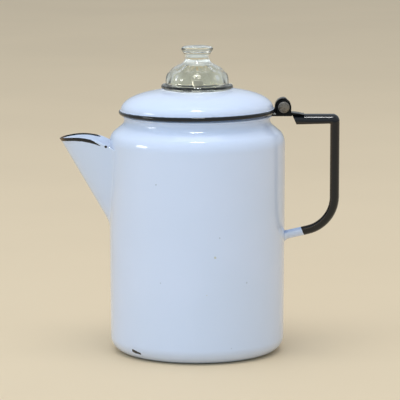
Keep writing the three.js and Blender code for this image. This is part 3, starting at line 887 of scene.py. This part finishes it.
def hinge_hardware():
    """A rivet through the hinge, and a washer at each end of it."""
    near, far = HALF_WIDTH + 0.05, HALF_WIDTH + GAP + 0.7
    for name, side in (("hinge_washer_front", -1), ("hinge_washer_rear", 1)):
        ring = rounded([(3.3, near), (4.6, near, 0.15), (4.6, far, 0.3), (3.3, far)], 4)
        washer = on_hinge(name + "_ring", [(r, side * along) for r, along in ring])
        settled(washer, STEEL, "pot", "bare_steel", name)
    head = HALF_WIDTH + 1.25
    crown = ((4.3, 0), (4.22, 0.35), (3.7, 0.72), (2.2, 0.98), (0, 1.05))
    formed_head = curve_through([(r, -head - height) for r, height in crown], 5)
    peened_crown = ((4.05, 0), (3.95, 0.35), (3.1, 0.75), (0, 1.0))
    peened_end = curve_through([(r, head + height) for r, height in peened_crown], 5)
    outline = [*reversed(formed_head), (3.2, -head), (3.2, head), *peened_end]
    settled(on_hinge("hinge_pin_rivet", outline), STEEL, "pot", "bare_steel", "hinge_pin")


hinge_bracket()
hinge_hardware()

# ---------------------------------------------------------------- lid

SEAT_SHIFT = Matrix.Translation((0, 0, LID_SEAT * MM))
TILT = SEAT_SHIFT @ Matrix.Rotation(-math.radians(LID_TILT), 4, "Y") @ SEAT_SHIFT.inverted()


def dome(radius, rise):
    """The rounded-square curve of the dome, from the hub to its edge."""
    steps = 44
    points = []
    for i in range(steps + 1):
        r = HUB_RADIUS + (radius - HUB_RADIUS) * math.sin(math.pi / 2 * i / steps)
        points.append((r, DOME_EDGE + rise * math.sqrt(max(0, 1 - (r / radius) ** DOME_POWER))))
    return points


def knob_hole(radius, height, angle):
    """Widens the knob's hole at the two notches that let the knob's lugs through."""
    off = abs((math.degrees(angle) - 60 + 90) % 180 - 90)
    open_to = KNOB_HOLE + (LUG_NOTCH - KNOB_HOLE) * ramp(off, 16.5, 14)
    if radius < LUG_NOTCH + 0.8:
        radius = max(radius, open_to + radius - KNOB_HOLE)
    return radius, height


def lid_shell():
    """The lid's dome, with a rolled edge that sits on the pot's rim."""
    outer = dome(DOME_RADIUS, DOME_RISE)
    inner = dome(DOME_RADIUS - ENAMELLED_SHEET, DOME_RISE - ENAMELLED_SHEET)
    top, under = outer[0][1], inner[0][1]
    roll_z = LID_SEAT + LID_ROLL
    roll = arc(DOME_RADIUS, roll_z, LID_ROLL, 78, -130, 26)
    turned_in = arc(DOME_RADIUS - 0.3, roll_z, LID_ROLL - 0.4, -150, -178, 3)
    hole = [
        (KNOB_HOLE + 0.9, under), (KNOB_HOLE, under + 0.35), (KNOB_HOLE, top - 0.5),
        (KNOB_HOLE + 0.15, top - 0.15), (KNOB_HOLE + 0.5, top),
    ]
    flat_end = LUG_NOTCH + 1.2
    outline = [*hole, (flat_end, top), *outer, *roll, *turned_in, *reversed(inner), (flat_end, under)]
    lid = turned("lid_dome", outline, WIDE_SIDES, knob_hole)

    def black_edge(p):
        return ramp(p.z, DOME_EDGE + 0.3, DOME_EDGE - 0.5) * ramp(p.xy.length, 58.6, 60.2)

    paint(lid, "trim", black_edge)
    lid.data.transform(TILT)
    settled(lid, WHITE, "lid", "white_enamel", "lid_shell")


def lid_skirt():
    """The ring inside the lid's edge that drops into the pot's neck."""
    flange = LID_SEAT + GAP
    foot, rim = SKIRT_BOTTOM + 0.6, DOME_RADIUS - 1.7
    line = rounded([(SKIRT_RADIUS, foot), (SKIRT_RADIUS, flange, 0.8), (rim, flange)], 6, False)
    skirt = turned("lid_skirt_ring", sheet(line, ENAMELLED_SHEET))
    skirt.data.transform(TILT)
    settled(skirt, WHITE, "lid", "white_enamel", "lid_skirt")


def lid_hinge_tab():
    """The strip that is welded to the lid's edge and curls loosely round the pin."""
    crest, wrap, half_width = 7.3, 4.9, 5.4
    foot = HINGE.x - crest - 0.05
    line = [(foot, LID_SEAT + 0.9), (foot, HINGE.z - 2)]
    for angle in range(170, -150, -5):
        radius = crest - (crest - wrap) * ramp(angle, 88, 25)
        across, up = math.cos(math.radians(angle)), math.sin(math.radians(angle))
        line.append((HINGE.x + radius * across, HINGE.z + radius * up))
    strip = slab("lid_hinge_strip", sheet(line, -ENAMELLED_SHEET), -half_width, half_width)
    paint(strip, "wear", lambda p: 0.3 * ramp(p.x, HINGE.x, HINGE.x + 6))
    settled(strip, BLACK, "lid", "black_enamel", "lid_hinge_tab")


lid_shell()
lid_skirt()
lid_hinge_tab()

# ---------------------------------------------------------------- glass knob


def glass_knob():
    """A hollow fluted dome with a collar at its top, and a neck whose two lugs lock it in the lid."""
    base, top = KNOB_SEAT, KNOB_HIGH.z
    neck, bore, neck_end = 18, 15, KNOB_LOW.z
    lug_low, lug_high, lug_reach = 207.6, 210, 20
    flutes, flute_depth = 16, 0.22
    shoulder, flange_top = (25.3, 217.6), base + 3.5
    flange = rounded([
        (neck, base), (28.2, base, 0.5), (29.3, base + 1.7, 1.6), (28.3, flange_top, 0.9),
        (25.9, flange_top + 0.15, 0.5), shoulder,
    ], 6, False)
    dome_side = curve_through([
        shoulder, (25.25, 219.4), (24.7, 222.4), (23.6, 225.0), (21.6, 227.4), (19.4, 229.4),
        (16.8, 231.1), (13.8, 232.5), (11.6, 233.8), (10.2, 235.6), (9.6, 237.6), (10.1, 239.7),
        (11.3, 241.8), (12.5, 243.7), (12.75, 244.9), (12.2, 246.0), (10.6, 246.85), (7.5, 247.3),
        (3.8, top - 0.05), (0, top),
    ], 5)
    cavity = curve_through([
        (0, 231), (4.5, 230.8), (9, 229.7), (13, 227.6), (16.6, 224.6), (19.2, 221.2), (20.5, 218.2),
        (20.7, 215.8), (20.3, 214.6), (19.4, 214.0), (17.2, 213.7), (15.5, 213.0), (bore, 211.8),
        (bore, neck_end + 0.6),
    ], 5)
    neck_foot = [(bore + 0.5, neck_end), (neck - 0.5, neck_end), (neck, neck_end + 0.5)]
    lugs = [(neck, lug_low - 0.2), (neck, lug_low), (neck, lug_high), (neck, lug_high + 0.2)]
    corner = [(neck, base - 0.4), (neck + 0.12, base - 0.12), (neck + 0.4, base)]
    outline = [*cavity, *neck_foot, *lugs, *corner, *flange[1:-1], *dome_side]

    def shape(radius, height, angle):
        if lug_low - 0.01 <= height <= lug_high + 0.01 and abs(radius - neck) < 0.01:
            off = abs((math.degrees(angle) + 90) % 180 - 90)
            return radius + (lug_reach - radius) * ramp(off, 12.8, 11), height
        wave = flute_depth * math.cos(flutes * angle) * ramp(height, 217.5, 219) * ramp(height, 233, 229)
        outside = ramp(radius, 21, 21.6 - 0.35 * max(height - 224, 0))
        return radius + wave * outside, height

    knob = turned("glass_knob_body", list(reversed(outline)), WIDE_SIDES, shape)
    # The renderer gives clear glass a solid shadow, which would blacken the lid below it.
    knob.visible_shadow = False
    settled(knob, GLASS, "knob", "clear_glass", "glass_knob")


glass_knob()

# ---------------------------------------------------------------- pump


def aluminium(name, outline, body, node, sides=NARROW_SIDES, shape=None):
    """A piece of spun aluminium that stands for one CAD node."""
    settled(turned(name, outline, sides, shape), ALUMINIUM, body, "spun_aluminium", node)


def pump():
    """The stem with its bell foot, the valve in the bell, and the collar that carries the basket."""
    inner, outer = TUBE_HIGH.x - THIN_SHEET, TUBE_HIGH.x
    low, high = TUBE_LOW.z, TUBE_HIGH.z
    stem = rounded([(inner, low, 0.25), (outer, low, 0.3), (outer, high, 0.35), (inner, high, 0.25)], 4)
    aluminium("pump_stem", stem, "pump", "pump_tube")

    floor, edge, collar_top = FOOT_LOW.z, FOOT_HIGH.x, 26
    fitted = outer + GAP

    def inlets(radius, height, angle):
        """Lifts the bell's foot at six places, to let the water in."""
        off = abs((math.degrees(angle) + 30) % 60 - 30)
        if height < floor + 0.7 and radius > 22:
            return radius, height + 0.75 * ramp(off, 7.5, 5)
        return radius, height

    bell = rounded([
        (edge, floor), (edge, floor + 1.6, 0.4), (16, 5.6, 20), (9.2, 7.6, 2), (9.2, 14.2, 1.6),
        (5.2, 16.6, 1.4), (5.2, collar_top, 0.4), (fitted, collar_top, 0.2), (fitted, 15.9, 0.6),
        (8.2, 13.4, 0.8), (8.2, 6.9, 1), (15.6, 4.7, 20), (edge - 1.2, floor + 0.9, 0.3),
        (edge - 1.2, floor),
    ], 6)
    aluminium("pump_bell", bell, "pump", "pump_foot", WIDE_SIDES, inlets)

    seat = rounded([(3, 6, 0.25), (7.9, 6, 0.25), (7.9, 7, 0.25), (3, 7, 0.3)], 4)
    aluminium("valve_seat_ring", seat, "pump", "valve_seat")

    rim = [*arc(5.8, 7.5, 0.2, -90, 0, 3), *arc(5.7, 7.7, 0.3, 0, 90, 4)]
    disc = [(0, 7.3), *rim, (4.6, 7.92), (4.2, 7.8), (0, 7.8)]
    settled(turned("valve_flap", disc, NARROW_SIDES), STEEL, "valve", "bare_steel", "valve_disc")

    stop_low, stop_high, stop_radius = STOP_LOW.z, STOP_HIGH.z, 7
    stop = rounded([
        (fitted, stop_low, 0.2), (5.4, stop_low, 0.4), (stop_radius, stop_high - 1.4, 0.5),
        (stop_radius, stop_high, 0.4), (fitted, stop_high, 0.2),
    ], 5)
    aluminium("basket_stop_collar", stop, "pump", "basket_stop")


pump()

# ---------------------------------------------------------------- basket and spreader


def ringed_holes(rings, twist, radius, low, high):
    """Drills for rings of holes, given as (radius, count), each turned twist degrees past the last."""
    places = [p for i, (r, count) in enumerate(rings) for p in circle_of_places(r, count, twist * i)]
    return drills(places, radius, low, high, 14)


def basket():
    """The perforated cup, and the sleeve that slides on the pump's stem."""
    floor, top = CUP_LOW.z, CUP_HIGH.z
    radius, bead = BASKET_RADIUS, 0.6
    line = rounded([
        (SLEEVE_RADIUS + GAP, floor), (radius, floor, 4.2), (radius, 168.4), (radius - bead, 169.2, 0.8),
        (radius, 170, 0.8), (radius, top - 0.9),
    ], 10, False)
    outer_lip = arc(radius + 0.75, top - 0.85, 0.75, -170, 100, 14)
    inner = offset(line, THIN_SHEET)
    outline = [*line, *outer_lip, (radius - THIN_SHEET + 0.2, top - 0.05), *reversed(inner)]
    rings = ((11, 10), (16, 16), (21, 22), (26, 28), (31, 34), (36, 40))
    cup = turned("basket_cup_wall", outline)
    combined(cup, [ringed_holes(rings, 7, 1.0, floor - 1, floor + 2)], "DIFFERENCE")
    settled(cup, ALUMINIUM, "basket", "spun_aluminium", "basket_cup")

    flare, flange, high = floor - GAP, SLEEVE_HIGH.x, SLEEVE_HIGH.z
    sleeve = rounded([
        (SLEEVE_BORE, flare - THIN_SHEET, 0.2), (flange, flare - THIN_SHEET, 0.3), (flange, flare, 0.3),
        (SLEEVE_RADIUS, flare, 0.5), (SLEEVE_RADIUS, high, 0.3), (SLEEVE_BORE, high, 0.2),
    ], 5)
    aluminium("basket_centre_sleeve", sleeve, "basket", "basket_sleeve")


def spreader():
    """The perforated plate that lies on the basket's edge, and the collar round its middle."""
    plate_z = box_mm("spreader_plate")[0].z + 0.6
    hub, ridge = plate_z + SPREADER_STEP, plate_z + 0.5
    line = rounded([
        (SLEEVE_RADIUS + GAP, hub), (12, hub, 2), (16, plate_z, 2), (38.5, plate_z, 1), (39.5, ridge, 1),
        (41.5, ridge, 1), (42.5, plate_z, 1), (BASKET_RADIUS, plate_z, 2),
        (BASKET_RADIUS + 1.7, plate_z - 0.45),
    ], 6, False)
    rings = ((20.5, 18), (25, 24), (29.5, 30), (34, 36))
    plate = turned("spreader_disc", sheet(line, THIN_SHEET))
    combined(plate, [ringed_holes(rings, 5, 0.9, plate_z - 1, plate_z + 2)], "DIFFERENCE")
    settled(plate, ALUMINIUM, "spreader", "spun_aluminium", "spreader_plate")

    low, high = (corner.z for corner in box_mm("spreader_collar"))
    seat, flange = hub + THIN_SHEET + GAP, 7.6
    collar = rounded([
        (SLEEVE_BORE, low, 0.2), (SLEEVE_RADIUS, low, 0.3), (SLEEVE_RADIUS, seat, 0.2),
        (flange, seat, 0.3), (flange, seat + THIN_SHEET, 0.35), (SLEEVE_RADIUS, seat + THIN_SHEET, 0.6),
        (SLEEVE_RADIUS, high, 0.3), (SLEEVE_BORE, high, 0.2),
    ], 5)
    aluminium("spreader_neck", collar, "spreader", "spreader_collar")


basket()
spreader()

# ---------------------------------------------------------------- stage, lamps and camera

FLOOR_COLOUR = (0.77, 0.605, 0.40)
HORIZON_COLOUR = (0.50, 0.53, 0.52)
SKY_COLOUR = (0.81, 0.887, 0.96)
SKY_STRENGTH = 0.74
FLOOR_RADIUS = 9000
FLOOR_THICKNESS = 40
LENS = 235.35
CAMERA_PLACE = (2.3, -2093, 430.2)
CAMERA_TILT = 81.63


def floor():
    """A wide pale disc, slightly mottled like paper."""
    top = [(0, 0), (300, 0), (1500, 0), (FLOOR_RADIUS, 0)]
    stage = turned("floor", [*top, (FLOOR_RADIUS, -FLOOR_THICKNESS), (0, -FLOOR_THICKNESS)], 96)
    stage.location.z = -0.2 * MM
    n = Nodes("pale_floor")
    cloud = n.between(n.noise(2.5, 3), 0.3, 0.7)
    darker = tuple(0.97 * c for c in FLOOR_COLOUR)
    n.set(Base_Color=n.mixed(cloud, FLOOR_COLOUR, darker), Roughness=0.65)
    stage.data.materials.append(n.material)


def lamp(name, place, size, watts, colour=(1, 1, 1), aim=(0, 0, 100), diffuse=True, glossy=True):
    """A rectangular lamp that lights faces (diffuse), or shines in glossy ones (glossy), or both."""
    data = bpy.data.lights.new(name, "AREA")
    data.shape = "RECTANGLE"
    data.size, data.size_y = size[0] * MM, size[1] * MM
    data.energy = watts
    data.color = colour
    made = bpy.data.objects.new(name, data)
    made.location = Vector(place) * MM
    made.rotation_euler = (Vector(aim) - Vector(place)).to_track_quat("-Z", "Y").to_euler()
    made.visible_camera = False
    made.visible_diffuse = diffuse
    made.visible_glossy = made.visible_transmission = glossy
    bpy.context.scene.collection.objects.link(made)


def glint(name, azimuth, elevation, watts, size):
    """A small lamp that only shines in glossy faces. Azimuth 0 is on the camera's side, 90 the handle's."""
    distance = 2600
    a, e = math.radians(azimuth), math.radians(elevation)
    direction = Vector((math.cos(e) * math.sin(a), -math.cos(e) * math.cos(a), math.sin(e)))
    lamp(name, distance * direction, size, watts, diffuse=False)


def surroundings():
    """A soft sky that is darker and less blue towards the horizon."""
    world = bpy.data.worlds.new("studio")
    world.use_nodes = True
    tree = world.node_tree
    direction = tree.nodes.new("ShaderNodeTexCoord")
    split = tree.nodes.new("ShaderNodeSeparateXYZ")
    climb = tree.nodes.new("ShaderNodeMapRange")
    climb.interpolation_type = "SMOOTHSTEP"
    climb.inputs["From Max"].default_value = 0.45
    shade = tree.nodes.new("ShaderNodeMix")
    shade.data_type = "RGBA"
    shade.inputs["A"].default_value = (*HORIZON_COLOUR, 1)
    shade.inputs["B"].default_value = (*SKY_COLOUR, 1)
    background = tree.nodes["Background"]
    tree.links.new(direction.outputs["Generated"], split.inputs[0])
    tree.links.new(split.outputs[2], climb.inputs["Value"])
    tree.links.new(climb.outputs[0], shade.inputs["Factor"])
    tree.links.new(shade.outputs["Result"], background.inputs["Color"])
    background.inputs["Strength"].default_value = SKY_STRENGTH
    bpy.context.scene.world = world


def lights():
    lamp("softbox_left", (-2600, -1300, 2100), (2200, 2200), 16, (0.72, 0.87, 1.0), glossy=False)
    lamp("softbox_top", (-100, -500, 3000), (2400, 2400), 42, (0.95, 0.97, 1.0), glossy=False)
    lamp("fill_front", (-500, -3300, 900), (2800, 1700), 28, (0.12, 0.52, 1.0), glossy=False)
    lamp("ceiling", (0, 0, 2900), (2200, 420), 5, aim=(0, 0, 0), diffuse=False)
    glint("strip_middle", 0, 72, 18, (560, 200))
    glint("window_left", -78, 20, 12, (800, 420))


def camera():
    data = bpy.data.cameras.new("camera")
    data.sensor_width = 36
    data.lens = LENS
    data.clip_end = 60
    made = bpy.data.objects.new("camera", data)
    made.location = Vector(CAMERA_PLACE) * MM
    made.rotation_euler = (math.radians(CAMERA_TILT), 0, 0)
    bpy.context.scene.collection.objects.link(made)
    bpy.context.scene.camera = made


floor()
surroundings()
lights()
camera()
bpy.context.scene.view_settings.view_transform = "Standard"
